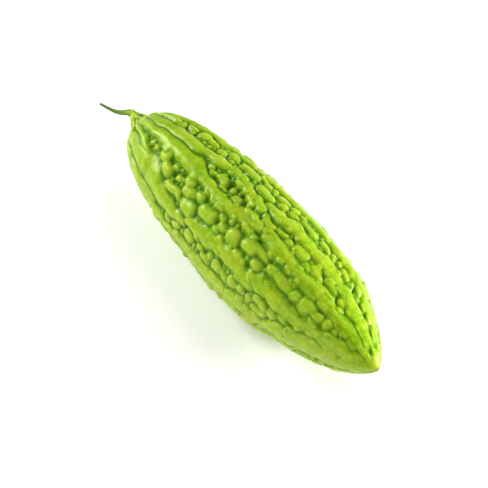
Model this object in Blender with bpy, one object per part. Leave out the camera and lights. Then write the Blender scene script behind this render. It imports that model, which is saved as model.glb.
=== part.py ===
"""A bitter gourd as picked: one ridged, warty fruit with its short bent stem, lying on its side.

Lengths are in metres, +Z is up. The fruit lies along X, its blossom tip towards +X, and the origin is
the middle of the small flat spot that it rests on. A place on the skin is given by its station, the
distance along X from the fruit's widest ring, and its angle round the fruit, in degrees: 0 is the top
and 90 the side at -Y.
"""

import math

import bmesh
import bpy
import numpy as np
from mathutils import Vector

MM = 0.001

# The fruit's driving sizes: two blunt half ovals that meet at the widest ring.
STEM_HALF = 130 * MM
TIP_HALF = 100 * MM
WIDEST_RADIUS = 37 * MM
STEM_FULLNESS = (2.5, 2.9)
TIP_FULLNESS = (1.72, 1.47)

# How the fruit lies: its ends rise and swing a little from the station that it rests on.
REST_STATION = -17 * MM
PRESSED_DEPTH = 1.0 * MM
SPOT_HALF_LENGTH = 32 * MM
SPOT_HALF_WIDTH = 11 * MM
SPOT_EDGE = (0.8, 0.5)
SPOT_TOLERANCE = 0.05 * MM
END_RISE = 5 * MM
END_SWING = -2 * MM
BEND_REACH = 115 * MM

# The stem end draws out into a short conical neck, which rises a little to a small flat seat.
NECK_END = -140.6 * MM
NECK_FOOT = -127.5 * MM
NECK_RADII = (2.8 * MM, 12 * MM)
NECK_FLARE = 1.25
NECK_RISE = 2.6 * MM
NECK_CURVE = 1.5

# The blossom tip leans towards -Y and up.
TIP_LEAN = (-0.8 * MM, 3.0 * MM)
TIP_LEAN_START = 78 * MM

# The relief: ridges reach about the full height above the valley floor, less a dip that varies along them,
# and a wart's height goes with its size. Crests have the widths given below, and feet are wider.
RIDGE_HEIGHT = 4.8 * MM
RIDGE_SEED = 3
RIDGE_DIP = 0.25
RIDGE_FULLNESS = 2.0
WART_FULLNESS = 2.0
DOME_POWER = 0.62
DOME_SPREAD = 1.2
WART_RISE = (1.9 * MM, 0.55)
FOOT_SHARE = 1.18
WART_FOOT_SHARE = 1.34
SOFT_EDGE = 0.12
TIP_FADE = (0.16, 62 * MM)
STEM_FADE = (0.16, 26 * MM)
TIP_HALF_FADE = (0.88, 105 * MM, 75 * MM)

# Waves that bend the outlines of ridges and warts a little: how many, how long and how far in all, and
# the share of their sum that their peaks reach.
WAVE_SEED = 5
WAVES = 9
WAVE_PEAK = 0.65
WAVE_LENGTHS = (8 * MM, 20 * MM)
WARP = 1.3 * MM

# A slimmer end of the fruit counts as this wide where the waves go round it, and a round wart's bar as
# this long, squared, so that nothing is divided by zero.
SLIM_RADIUS = WIDEST_RADIUS / 3
NO_LENGTH = 1e-12

# Broad swellings and hollows of the fruit: (station, angle, reach along it, reach round it, height),
# with lengths in mm and angles in degrees.
SWELLINGS = ((50, -62, 18, 26, 2.8), (-18, 112, 18, 24, 1.3), (36, 108, 14, 22, -1.5),
             (-37, 4, 19, 9, -1.6))

# Ridges on the side that shows in front: (station in mm, angle, half width in degrees) along each one.
FRONT_RIDGES = (
    ((-128, 15.5, 10.5), (-110, 15, 11), (-90, 14, 10), (-78, 13.5, 10.5), (-68, 13, 11.5),
     (-60, 16, 10), (-52, 17.5, 6.2), (-42, 19, 6.5), (-30, 18.5, 8), (-20, 14.5, 7.5), (-12, 13, 7),
     (-4, 11.5, 5)),
    ((3, 13.5, 4), (12, 13, 7.5), (22, 12, 9), (32, 14, 7.5), (42, 12.5, 9.5), (52, 11, 10.5),
     (62, 11, 10), (72, 13, 11), (82, 17, 12), (92, 18, 12), (99, 18, 12)),
    ((-128, -3.5, 10), (-115, -3, 10.5), (-100, -3.5, 10.5), (-88, -3.5, 9.5), (-78, -5, 8), (-70, -7, 7),
     (-60, -10, 6.5), (-50, -13, 6.5), (-40, -13.5, 5.5), (-30, -9.5, 5), (-20, -6, 5.5), (-13, -5, 4)),
    ((-14, -13, 4), (-5, -13, 7), (5, -15, 7), (15, -16, 7.5), (25, -16, 8), (35, -17, 9),
     (45, -20, 9.5), (55, -17, 10.5), (65, -15, 12), (75, -14, 12), (85, -13, 11), (99, -12, 11)),
    ((-128, -19, 6), (-115, -19, 6.5), (-106, -20, 5.5)),
    ((-128, -38, 9), (-110, -37, 9), (-90, -40, 8), (-70, -44, 8), (-50, -47, 8), (-30, -50, 7),
     (-10, -50, 7.5), (10, -50, 8), (30, -52, 8), (50, -50, 9), (70, -46, 10), (85, -43, 11),
     (99, -42, 11)),
    ((-128, 55, 12), (-115, 55, 13.5), (-105, 54, 15), (-97, 53, 17.5), (-90, 56, 17), (-80, 59.5, 14),
     (-70, 64, 11.5), (-60, 67, 8), (-54, 66, 5)),
    ((-128, 84, 16), (-110, 84, 16), (-95, 86, 16), (-80, 88, 13), (-68, 91, 8)),
    ((-122, 72, 5), (-104, 73, 6), (-88, 75, 5), (-76, 78, 3)),
    ((-124, 29, 6), (-116, 31, 7), (-108, 35.5, 6.5), (-102, 40, 6), (-97, 44, 5)),
    ((-43, 58, 6), (-36, 58, 10), (-28, 55, 9.5), (-18, 53, 9), (-8, 52, 9), (0, 52, 10),
     (8, 56, 8.5), (16, 60, 5.5)),
    ((14, 49, 5.5), (20, 49, 9), (28, 50, 9.5), (38, 52, 9.5), (50, 53, 9), (60, 52, 11),
     (70, 51, 13), (80, 51, 15), (90, 51, 16), (99, 51, 16)),
    ((-62, 92, 5), (-48, 90, 8), (-30, 90, 9), (-10, 92, 9), (10, 90, 9), (30, 92, 9),
     (45, 89, 12), (56, 84, 17), (68, 80, 18), (82, 78, 20), (99, 76, 21)),
)

# The warts that stand out in front: (station, angle, half length, radius), all but the angle in mm.
FRONT_WARTS = (
    (-95, 29, 0.5, 2.2), (-89, 23.5, 1, 2.6), (-85, 29.5, 1.2, 4.1), (-77.5, 37, 1.5, 4),
    (-73.5, 28.5, 0.8, 2), (-66, 34.5, 0.6, 1.9), (-63, 32.5, 0.4, 1.5), (-64, 46.5, 5.5, 3.2),
    (-59, 29.5, 1.2, 3.2), (-54.5, 36.5, 1.8, 3.6), (-45.5, 31.5, 0.8, 3.3), (-47.5, 50, 2.6, 4.4),
    (-34.5, 38.5, 2.6, 4.6), (-50, 64, 4, 3), (-38, 72, 1, 3), (-24, 43, 1, 2.8), (-25, 30, 1.2, 2.4),
    (-21, 36.5, 0.6, 3), (-18.5, 26.5, 0.3, 2.1), (-11.5, 33.2, 1, 4.2), (-7, 39.5, 0.2, 2.2),
    (-7, 20, 1.4, 2.6), (-1.5, 45.5, 1, 3), (1.5, 31, 2.8, 3.6), (11.3, 39.3, 0.6, 2.8),
    (9, 25.5, 4.5, 2.7), (-1, 21, 1.5, 2), (21.5, 31, 1, 3.4), (31.5, 33, 5, 3), (36, 26, 1.2, 2.2),
    (38, 34.5, 0.3, 1.6), (42.4, 32.3, 1.2, 3.4), (51.2, 31.8, 1, 4.6), (58, 33.7, 1.5, 3),
    (-54, 4.5, 0.8, 2.3), (-46.5, 2, 2.2, 2.4), (-40.5, 8.5, 2.2, 1.7), (-35.5, 2.5, 0.8, 2.2),
    (-28.5, 7, 1, 2.7), (-20.6, 3, 0.6, 2), (-53, -1.5, 0.6, 1.3), (-48.5, -3.5, 0.8, 1.2),
    (-15.2, 6, 3.2, 2.3), (-8, -3, 1.5, 2), (-2.5, 2.5, 2.8, 2.6), (4, 6.5, 4.5, 2.4), (7.5, -1, 3, 2),
    (15.5, -0.5, 1, 2.4), (17.5, 5.5, 0.5, 1.8), (24.8, -1.5, 2.6, 3.4), (32.5, -4.5, 0.5, 1.8),
    (34.5, 3.5, 1.2, 2.8), (37, -3, 1, 3), (41, -0.5, 1.5, 3), (50.5, -7, 3, 2.8), (-27, 70, 0.8, 2.8),
    (-22, 75, 1.2, 2.8), (-11, 71, 1.6, 3.2), (-3, 73, 0.8, 2.6), (18.5, 72, 0.8, 2.2),
    (24.5, 65.5, 0.8, 2.5), (29.5, 67.5, 0.6, 2.8), (27, 78, 3, 2.4), (36, 70, 1.4, 2.8),
    (43.5, 65.5, 0.8, 2.4), (42.5, 76.5, 0.8, 2.4), (50, 70, 2.2, 1.9), (-99, -20, 1, 2.4),
    (-93.5, -25, 1.8, 2.6), (-82.7, -26.6, 1.5, 3.3), (-74.5, -25.7, 1.5, 2.8), (-65, -23, 1.5, 2.6),
    (-43.5, -29.5, 5, 3.3), (-23.5, -20, 5, 3.3), (-35.5, -36.5, 1, 2.6), (-14, -33, 2.5, 2.6),
    (-1.5, -26.5, 2.5, 2.2), (12, -30, 5, 2.6), (26, -34, 2, 2.6),
)

# The legs of the neck, which run down between the heads of the ridges: each one's angle, and the half
# width in degrees at a few stations in mm along them all.
NECK_LEGS = (5, 47, 95, 140, 185, 230, 275, 320)
LEG_WIDTHS = ((-140, 26), (-132, 15), (-124, 3))

# Ridges on the side behind follow a rule, each in two or three pieces.
BACK_RIDGES = 6
BACK_ANGLES = (122, 282)
BACK_ENDS = (-128, 99)
BACK_BREAKS = ((-72, -38), (12, 40))
BACK_GAP = 7
BACK_STEP = 14
BACK_FEWEST = 3
BACK_SWAY = 3.5
BACK_HALF_WIDTH = (7.0, 9.5)

# Lobes along the edges of the ridges: from which station, how far apart, and their radii, all in mm,
# how far they stretch, how far out they sit and how high they are, as shares.
LOBE_SEED = 23
LOBE_START = -58
LOBE_SPACING = (6.0, 13.0)
LOBE_RADII = (1.8, 3.0)
LOBE_STRETCH = (0, 1)
LOBE_OFFSET = (0.6, 0.95)
LOBE_HEIGHT = (0.75, 0.97)

# Warts fill what the ridges leave, the roomiest place first. A wart's foot reaches into its neighbours
# by the bite, a share of its radius. The largest radius allowed varies from patch to patch.
WART_SEED = 11
WART_SPACING = 0.9 * MM
WART_BITE = 0.42
WART_SMALLEST = 1.7 * MM
WART_LARGEST = (2.0 * MM, 5.0 * MM)
WART_PATCH = 7 * MM
WART_STRETCHES = (1.1, 0.8, 0.5, 0.25)
WART_END_ROOM = 0.54
WART_TILT = 25
WART_LIFT = (0.86, 1.06)
WART_EDGE = 4 * MM

# How finely the skin is first drawn, and how many triangles it keeps.
MERIDIAN_STEPS = 4001
RINGS = 240
COLUMNS = 260
KEPT_TRIANGLES = 11600

# The stem: points along its middle, outwards from the seat's centre, with its radius at each, all in mm.
SEAT_GAP = 0.3 * MM
STEM_PATH = ((0, 0, 0, 2.7), (-1.6, -0.8, 0.1, 2.3), (-3.5, -3.0, -0.5, 1.9), (-5.9, -6.1, -0.5, 1.5),
             (-8.7, -8.8, 0.8, 1.2), (-12.4, -11.0, 2.1, 1.0), (-16.3, -12.8, 2.9, 0.85))
STEM_RIBS = 5
STEM_RIB_DEPTH = 0.2
STEM_SIDES = 30
STEM_RINGS = 34
STEM_SMOOTHINGS = 3

SKIN_COLOUR = (0.30, 0.50, 0.03, 1)
SKIN_ROUGHNESS = 0.35
STEM_COLOUR = (0.16, 0.24, 0.04, 1)
STEM_ROUGHNESS = 0.6
SHARP_EDGE = 60


def clear_scene():
    for obj in list(bpy.data.objects):
        bpy.data.objects.remove(obj, do_unlink=True)


def material(name, colour, roughness):
    made = bpy.data.materials.new(name)
    made.use_nodes = True
    shader = made.node_tree.nodes["Principled BSDF"]
    shader.inputs["Base Color"].default_value = colour
    shader.inputs["Roughness"].default_value = roughness
    shader.inputs["Metallic"].default_value = 0.0
    made.diffuse_color = colour
    return made


def half_oval(station, half_length, fullness):
    """The radius of a blunt oval at a distance from its widest ring."""
    inside = 1 - np.minimum(np.abs(station) / half_length, 1) ** fullness[0]
    return WIDEST_RADIUS * inside ** (1 / fullness[1])


def girth(station):
    """The fruit's outer radius at a station."""
    station = np.asarray(station, float)
    stem_side = half_oval(station, STEM_HALF, STEM_FULLNESS)
    tip_side = half_oval(station, TIP_HALF, TIP_FULLNESS)
    share = np.clip((station - NECK_END) / (NECK_FOOT - NECK_END), 0, 1)
    neck = NECK_RADII[0] + (NECK_RADII[1] - NECK_RADII[0]) * share**NECK_FLARE
    return np.where(station < 0, np.maximum(stem_side, neck), tip_side)


def meridian():
    """Close stations from the seat to the tip, and the distance along the skin to each."""
    steps = np.linspace(0, math.pi, MERIDIAN_STEPS)
    stations = (TIP_HALF + NECK_END) / 2 - (TIP_HALF - NECK_END) / 2 * np.cos(steps)
    radii = girth(stations)
    along = np.concatenate([[0], np.cumsum(np.hypot(np.diff(stations), np.diff(radii)))])
    return stations, along


STATIONS, ALONG = meridian()
SKIN_LENGTH = ALONG[-1]


def along_skin(station):
    """The distance along the skin from the seat to a station."""
    return float(np.interp(station, STATIONS, ALONG))


def turned(angle):
    """An angle brought to between -pi and pi."""
    return (np.asarray(angle) + math.pi) % (2 * math.pi) - math.pi


def bar(start, end, fullness):
    """One rounded bar of the relief between two ends, each (along, angle, half width, height)."""
    return (*start, *end, fullness)


def ridge_bars(points):
    """A ridge from its points (station in mm, angle, half width in degrees), one bar for each stretch."""
    ends = []
    rng = np.random.default_rng(RIDGE_SEED + round(abs(points[0][1])))
    for station, angle, half_width in points:
        width = FOOT_SHARE * math.radians(half_width) * float(girth(station * MM))
        height = RIDGE_HEIGHT * (1 - rng.uniform(0, RIDGE_DIP))
        ends.append((*settled(along_skin(station * MM), math.radians(angle)), width, height))
    return [bar(a, b, RIDGE_FULLNESS) for a, b in zip(ends, ends[1:])]


def back_ridges(rng):
    """The ridges behind: evenly spaced, swaying, broken where the front ones would be too."""
    ridges = []
    for angle in np.linspace(*BACK_ANGLES, BACK_RIDGES):
        cuts = [BACK_ENDS[0], *(rng.uniform(*between) for between in BACK_BREAKS), BACK_ENDS[1]]
        for first, last in zip(cuts, cuts[1:]):
            shift = rng.uniform(-BACK_SWAY, BACK_SWAY)
            start = first if first <= BACK_ENDS[0] else first + BACK_GAP
            count = max(BACK_FEWEST, round((last - start) / BACK_STEP))
            points = []
            for station in np.linspace(start, last, count):
                sway = rng.uniform(-BACK_SWAY, BACK_SWAY) / 2
                points.append((station, angle + shift + sway, rng.uniform(*BACK_HALF_WIDTH)))
            ridges.append(points)
    return ridges


def neck_legs():
    """The legs as ridges that taper out over the shoulder of the fruit."""
    return [[(station, angle, half_width) for station, half_width in LEG_WIDTHS] for angle in NECK_LEGS]


def wart_bar(along, angle, half_length, radius, tilt=0.0, lift=1.0):
    """A wart as a short bar that lies nearly along the fruit."""
    local = float(girth(np.interp(along, ALONG, STATIONS)))
    reach = half_length * math.cos(tilt)
    swing = half_length * math.sin(tilt) / max(local, radius)
    height = min((WART_RISE[0] + WART_RISE[1] * radius) * lift, RIDGE_HEIGHT)
    start = (along - reach, angle - swing, radius, height)
    end = (along + reach, angle + swing, radius, height)
    return bar(start, end, WART_FULLNESS)


def ridge_lobes(ridges, rng):
    """Bumps along both edges of every ridge, which make its outline lobed."""
    lobes = []
    for ridge in ridges:
        for side in (-1, 1):
            station = max(ridge[0][0], LOBE_START) + rng.uniform(*LOBE_SPACING)
            while station < ridge[-1][0]:
                points = np.array(ridge, float)
                angle = math.radians(np.interp(station, points[:, 0], points[:, 1]))
                half = math.radians(np.interp(station, points[:, 0], points[:, 2]))
                angle += side * half * rng.uniform(*LOBE_OFFSET)
                radius = rng.uniform(*LOBE_RADII) * MM
                height = RIDGE_HEIGHT * rng.uniform(*LOBE_HEIGHT)
                stretch = rng.uniform(*LOBE_STRETCH) * radius
                along = along_skin(station * MM)
                lobes.append(bar((along - stretch, angle, radius, height),
                                 (along + stretch, angle, radius, height), WART_FULLNESS))
                station += rng.uniform(*LOBE_SPACING)
    return lobes


def cut_room(room, along, angle, radii, one):
    """Lowers the room round each place of a grid to its distance from the edge of one more bar."""
    start, turn, width, _, end, end_turn, end_width, _, _ = one
    margin = max(width, end_width) + 2 * WART_LARGEST[1]
    first, last = np.searchsorted(along, (min(start, end) - margin, max(start, end) + margin))
    rows = slice(first, last)
    local = radii[rows, None]
    run = along[rows, None] - start
    side = turned(angle[None, :] - turn) * local
    bar_run, bar_side = end - start, turned(end_turn - turn) * local
    share = np.clip((run * bar_run + side * bar_side) / (bar_run**2 + bar_side**2 + NO_LENGTH), 0, 1)
    gap = np.hypot(run - share * bar_run, side - share * bar_side)
    room[rows] = np.minimum(room[rows], gap - (width + share * (end_width - width)))


def wart_limits(along, angle, rng):
    """The largest wart radius allowed at each place of a grid: random, much the same within a patch."""
    rows = round(SKIN_LENGTH / WART_PATCH)
    columns = round(2 * math.pi * WIDEST_RADIUS / WART_PATCH)
    patches = rng.uniform(*WART_LARGEST, (rows, columns))
    row = (along / WART_PATCH).astype(int) % rows
    column = ((angle + math.pi) * WIDEST_RADIUS / WART_PATCH).astype(int) % columns
    return patches[row[:, None], column[None, :]]


def pack_warts(bars, rng):
    """Fills what the ridges leave with warts, each as large as its place allows."""
    along = np.arange(WART_EDGE, SKIN_LENGTH - WART_EDGE, WART_SPACING)
    angle = np.linspace(-math.pi, math.pi, round(2 * math.pi * WIDEST_RADIUS / WART_SPACING), endpoint=False)
    radii = girth(np.interp(along, ALONG, STATIONS))
    room = np.full((len(along), len(angle)), 1.0)
    for one in bars:
        cut_room(room, along, angle, radii, one)
    limits = wart_limits(along, angle, rng)
    bars = list(bars)
    while True:
        size = np.minimum(room / (1 - WART_BITE), limits)
        row, column = np.unravel_index(np.argmax(size), size.shape)
        radius = size[row, column]
        if radius < WART_SMALLEST:
            return np.array(bars)
        tilt = math.radians(rng.uniform(-WART_TILT, WART_TILT))
        stretch = wart_stretch(room, row, column, radius, radii[row], tilt, angle[1] - angle[0])
        bars.append(wart_bar(along[row], angle[column], stretch, radius, tilt, rng.uniform(*WART_LIFT)))
        cut_room(room, along, angle, radii, bars[-1])


def wart_stretch(room, row, column, radius, local, tilt, column_step):
    """How long a wart can be at its place: half the distance between its two ends."""
    for share in WART_STRETCHES:
        half = share * radius
        rows = round(half * math.cos(tilt) / WART_SPACING)
        columns = round(half * math.sin(tilt) / max(local, radius) / column_step)
        above, below = max(row - rows, 0), min(row + rows, room.shape[0] - 1)
        left, right = (column - columns) % room.shape[1], (column + columns) % room.shape[1]
        if min(room[above, left], room[below, right]) > radius * WART_END_ROOM:
            return half
    return 0.0


def relief_bars():
    """Every ridge and wart of the skin as rounded bars."""
    rng = np.random.default_rng(WART_SEED)
    ridges = [*FRONT_RIDGES, *back_ridges(rng)]
    bars = [b for ridge in (*ridges, *neck_legs()) for b in ridge_bars(ridge)]
    bars += ridge_lobes(ridges, np.random.default_rng(LOBE_SEED))
    for station, angle, half_length, radius in FRONT_WARTS:
        along, turn = settled(along_skin(station * MM), math.radians(angle))
        bars.append(wart_bar(along, turn, half_length * MM, WART_FOOT_SHARE * radius * MM))
    return pack_warts(bars, rng)


def smooth_step(value):
    value = np.clip(value, 0, 1)
    return value * value * (3 - 2 * value)


def end_fade(along):
    """How much of its full height the relief has, lower towards the two ends."""
    tip = TIP_FADE[0] + (1 - TIP_FADE[0]) * smooth_step((SKIN_LENGTH - along) / TIP_FADE[1])
    stem = STEM_FADE[0] + (1 - STEM_FADE[0]) * smooth_step(along / STEM_FADE[1])
    share, start, length = TIP_HALF_FADE
    return tip * stem * (1 - (1 - share) * smooth_step((along - start) / length))


def wobble(along, angle):
    """Two smooth random shifts of a place on the skin, along the fruit and round it."""
    rng = np.random.default_rng(WAVE_SEED)
    lengths = np.geomspace(*WAVE_LENGTHS, WAVES)
    shifts = []
    for _ in range(2):
        total = 0
        for length in lengths:
            heading = rng.uniform(0, math.pi)
            turns = round(math.cos(heading) * 2 * math.pi * WIDEST_RADIUS / length)
            phase = rng.uniform(0, 2 * math.pi)
            run = math.sin(heading) * along * 2 * math.pi / length
            total = total + length * np.sin(run + turns * angle + phase)
        shifts.append(total * WARP / (WAVE_PEAK * lengths.sum()))
    return shifts


def settled(along, angle):
    """A place moved so that the wobble brings it back to where it was meant."""
    shift_along, shift_side = wobble(along, angle)
    radius = max(float(girth(np.interp(along, ALONG, STATIONS))), SLIM_RADIUS)
    return float(along + shift_along), float(angle + shift_side / radius)


def swelling(station, angle):
    """How far the fruit's broad swellings stand out at each place."""
    total = np.zeros((len(station), len(angle)))
    for middle, turn, reach, spread, height in SWELLINGS:
        run = (station[:, None] / MM - middle) / reach
        side = turned(angle[None, :] - math.radians(turn)) / math.radians(spread)
        total += height * MM * np.exp(-(run**2 + side**2))
    return total


def relief(along, angle, bars):
    """Height of the skin over the valley floor, on a grid of rings (along) and columns (angle)."""
    radius = girth(np.interp(along, ALONG, STATIONS))[:, None]
    shift_along, shift_side = wobble(along[:, None], angle[None, :])
    warped_along = along[:, None] + shift_along
    warped_side = angle[None, :] + shift_side / np.maximum(radius, SLIM_RADIUS)
    height = np.zeros((len(along), len(angle)))
    foot = SOFT_EDGE**DOME_POWER
    for start, turn, width, top, end, end_turn, end_width, end_top, fullness in bars:
        margin = max(width, end_width) + 2 * WARP
        rows = np.flatnonzero((along > min(start, end) - margin) & (along < max(start, end) + margin))
        if not len(rows):
            continue
        rows = slice(rows[0], rows[-1] + 1)
        local = radius[rows]
        run = warped_along[rows] - start
        side = turned(warped_side[rows] - turn) * local
        bar_run, bar_side = end - start, turned(end_turn - turn) * local
        share = np.clip((run * bar_run + side * bar_side) / (bar_run**2 + bar_side**2 + NO_LENGTH), 0, 1)
        gap = np.hypot(run - share * bar_run, side - share * bar_side)
        across = gap / (DOME_SPREAD * (width + share * (end_width - width)))
        inside = np.clip(1 - across**fullness, 0, 1)
        dome = ((inside + SOFT_EDGE) ** DOME_POWER - foot) / ((1 + SOFT_EDGE) ** DOME_POWER - foot)
        height[rows] = np.maximum(height[rows], dome * (top + share * (end_top - top)))
    return height


def middle_line(station):
    """Where the middle of the fruit is at a station, in the part's frame: (x, y, z)."""
    bend = ((station - REST_STATION) / BEND_REACH) ** 2
    height = float(girth(REST_STATION)) - PRESSED_DEPTH
    lean = smooth_step((station - TIP_LEAN_START) / (TIP_HALF - TIP_LEAN_START))
    neck = np.clip((NECK_FOOT - station) / (NECK_FOOT - NECK_END), 0, 1) ** NECK_CURVE
    return (station - REST_STATION, END_SWING * bend + TIP_LEAN[0] * lean,
            height + END_RISE * bend + TIP_LEAN[1] * lean + NECK_RISE * neck)


def skin_points(bars):
    """The skin as rings of points, pressed flat where it rests."""
    along = np.linspace(0, SKIN_LENGTH, RINGS + 1)[:-1]
    angle = np.linspace(-math.pi, math.pi, COLUMNS, endpoint=False)
    station = np.interp(along, ALONG, STATIONS)
    x, y, z = middle_line(station)
    below = np.cos(angle)[None, :] * np.ones_like(station)[:, None]
    side = np.sin(angle)[None, :] * np.ones_like(station)[:, None]
    outer = girth(station)[:, None] + swelling(station, angle)
    height = relief(along, angle, bars)
    reach = np.hypot(x[:, None] / SPOT_HALF_LENGTH, outer * side / SPOT_HALF_WIDTH)
    pressed = np.where(below < 0, 1 - smooth_step((reach - SPOT_EDGE[0]) / SPOT_EDGE[1]), 0)
    height = height + pressed * (RIDGE_HEIGHT - height)
    radius = outer - end_fade(along)[:, None] * (RIDGE_HEIGHT - height)
    points = np.stack([
        np.broadcast_to(x[:, None], radius.shape),
        y[:, None] - radius * side,
        np.maximum(z[:, None] + radius * below, 0),
    ], axis=-1)
    return points


def skin_mesh(points):
    """A closed mesh from the rings: a flat seat at the stem end and a point at the tip."""
    rings, columns = points.shape[:2]
    mesh = bmesh.new()
    rows = [[mesh.verts.new(p) for p in ring] for ring in points]
    seat = mesh.verts.new(points[0].mean(0))
    tip = mesh.verts.new(middle_line(STATIONS[-1]))
    for low, high in zip(rows, rows[1:]):
        join_rings(mesh, low, high)
    for j in range(columns):
        k = (j + 1) % columns
        mesh.faces.new((rows[0][k], rows[0][j], seat))
        mesh.faces.new((rows[-1][j], rows[-1][k], tip))
    bmesh.ops.recalc_face_normals(mesh, faces=mesh.faces)
    return mesh


def join_rings(mesh, low, high):
    for j in range(len(low)):
        k = (j + 1) % len(low)
        mesh.faces.new((low[j], low[k], high[k], high[j]))


def as_object(mesh, name):
    """Moves a bmesh to a named object of the scene."""
    data = bpy.data.meshes.new(name)
    mesh.to_mesh(data)
    mesh.free()
    obj = bpy.data.objects.new(name, data)
    bpy.context.scene.collection.objects.link(obj)
    return obj


def thin_out(obj, triangles):
    """Redraws the mesh with fewer triangles, most of them where it curves."""
    decimate = obj.modifiers.new("thin", "DECIMATE")
    decimate.ratio = triangles / len(obj.data.polygons)
    graph = bpy.context.evaluated_depsgraph_get()
    result = bpy.data.meshes.new_from_object(obj.evaluated_get(graph))
    obj.modifiers.clear()
    obj.data = result


def flatten_spot(obj):
    """Brings the points of the resting spot back to the floor, exactly."""
    for vertex in obj.data.vertices:
        if vertex.co.z < SPOT_TOLERANCE:
            vertex.co.z = 0


def make_gourd():
    mesh = skin_mesh(skin_points(relief_bars()))
    bmesh.ops.triangulate(mesh, faces=mesh.faces)
    obj = as_object(mesh, "gourd")
    thin_out(obj, KEPT_TRIANGLES)
    flatten_spot(obj)
    obj.data.materials.append(material("green gourd skin", SKIN_COLOUR, SKIN_ROUGHNESS))
    return obj


def stem_line():
    """The middle of the stem as a smooth line of points with radii, from its seat outwards."""
    path = np.array(STEM_PATH) * MM
    steps = np.linspace(0, len(path) - 1, STEM_RINGS)
    line = np.stack([np.interp(steps, range(len(path)), path[:, k]) for k in range(4)], -1)
    for _ in range(STEM_SMOOTHINGS):
        line[1:-1] = (line[:-2] + 2 * line[1:-1] + line[2:]) / 4
    seat_x, seat_y, seat_z = middle_line(STATIONS[0])
    line[:, :3] += (seat_x - SEAT_GAP, seat_y, seat_z)
    return line


def stem_rings(line):
    """Rings of points round the stem, with soft ribs that fade towards the cut end."""
    ahead = np.gradient(line[:, :3], axis=0)
    ahead[0] = (-1, 0, 0)
    turns = np.linspace(0, 2 * math.pi, STEM_SIDES, endpoint=False)
    rings = []
    for (x, y, z, radius), heading, share in zip(line, ahead, np.linspace(0, 1, STEM_RINGS)):
        heading = Vector(heading).normalized()
        up = (Vector((0, 0, 1)) - heading * heading.z).normalized()
        side = heading.cross(up)
        depth = STEM_RIB_DEPTH * math.sqrt(1 - share)
        reach = radius * (1 + depth * (np.cos(STEM_RIBS * turns) - 1) / 2)
        middle = Vector((x, y, z))
        rings.append([middle + (up * math.cos(t) + side * math.sin(t)) * r for r, t in zip(reach, turns)])
    return rings


def make_stem():
    mesh = bmesh.new()
    rows = [[mesh.verts.new(p) for p in ring] for ring in stem_rings(stem_line())]
    for low, high in zip(rows, rows[1:]):
        join_rings(mesh, low, high)
    mesh.faces.new(rows[0])
    mesh.faces.new(rows[-1])
    bmesh.ops.recalc_face_normals(mesh, faces=mesh.faces)
    obj = as_object(mesh, "stem")
    obj.data.materials.append(material("green stem", STEM_COLOUR, STEM_ROUGHNESS))
    return obj


def main():
    clear_scene()
    for obj in (make_gourd(), make_stem()):
        obj.data.shade_smooth()
        obj.data.set_sharp_from_angle(angle=math.radians(SHARP_EDGE))


main()
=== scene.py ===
import math

import bpy
import numpy as np
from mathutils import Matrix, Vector


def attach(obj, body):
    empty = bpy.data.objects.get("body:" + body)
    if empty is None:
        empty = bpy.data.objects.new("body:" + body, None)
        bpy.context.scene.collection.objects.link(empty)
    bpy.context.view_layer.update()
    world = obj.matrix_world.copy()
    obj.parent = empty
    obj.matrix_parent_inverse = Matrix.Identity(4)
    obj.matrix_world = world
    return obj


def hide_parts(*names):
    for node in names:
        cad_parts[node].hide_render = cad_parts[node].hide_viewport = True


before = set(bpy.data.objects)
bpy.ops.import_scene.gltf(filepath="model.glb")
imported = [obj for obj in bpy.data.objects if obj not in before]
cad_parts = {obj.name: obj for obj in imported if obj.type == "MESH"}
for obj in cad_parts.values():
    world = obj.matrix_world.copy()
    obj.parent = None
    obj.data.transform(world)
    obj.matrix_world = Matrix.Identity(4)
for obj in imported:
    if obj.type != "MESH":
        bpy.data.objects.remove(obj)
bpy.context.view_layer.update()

# A bitter gourd that lies on its side. Its skin is drawn as a flat chart, on which ridges and warts are
# domes of a given height. A node tree then wraps the chart round the bent fruit. A place on the skin is
# given by its station, the distance along X from the widest ring, and its angle round the fruit, where 0
# is the top and 90 degrees the side at -Y.

MM = 0.001

# The fruit: two blunt half ovals that meet at the widest ring.
STEM_HALF = 130 * MM
TIP_HALF = 100 * MM
WIDEST_RADIUS = 37 * MM
STEM_FULLNESS = (2.5, 2.9)
TIP_FULLNESS = (1.72, 1.47)

# How it lies: the ends rise and swing a little from the station that it rests on.
REST_STATION = -17 * MM
PRESSED_DEPTH = 1.0 * MM
SPOT_HALF_LENGTH = 32 * MM
SPOT_HALF_WIDTH = 11 * MM
SPOT_EDGE = (0.8, 0.5)
END_RISE = 5 * MM
END_SWING = -2 * MM
BEND_REACH = 115 * MM

# The stem end draws out into a short conical neck, and the blossom tip leans to -Y and up.
NECK_END = -140.6 * MM
NECK_FOOT = -127.5 * MM
NECK_RADII = (2.8 * MM, 12 * MM)
NECK_FLARE = 1.25
NECK_RISE = 2.6 * MM
NECK_CURVE = 1.5
TIP_LEAN = (-0.8 * MM, 3.0 * MM)
TIP_LEAN_START = 78 * MM

# The relief. Widths given below are those of the crests, and the feet are wider by the foot shares.
RIDGE_HEIGHT = 4.8 * MM
RIDGE_SEED = 3
RIDGE_DIP = 0.25
RIDGE_FULLNESS = 2.0
WART_FULLNESS = 2.0
DOME_POWER = 0.62
DOME_SPREAD = 1.2
WART_RISE = (1.9 * MM, 0.55)
FOOT_SHARE = 1.18
WART_FOOT_SHARE = 1.34
SOFT_EDGE = 0.12
TIP_FADE = (0.16, 62 * MM)
STEM_FADE = (0.16, 26 * MM)
TIP_HALF_FADE = (0.88, 105 * MM, 75 * MM)

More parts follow.
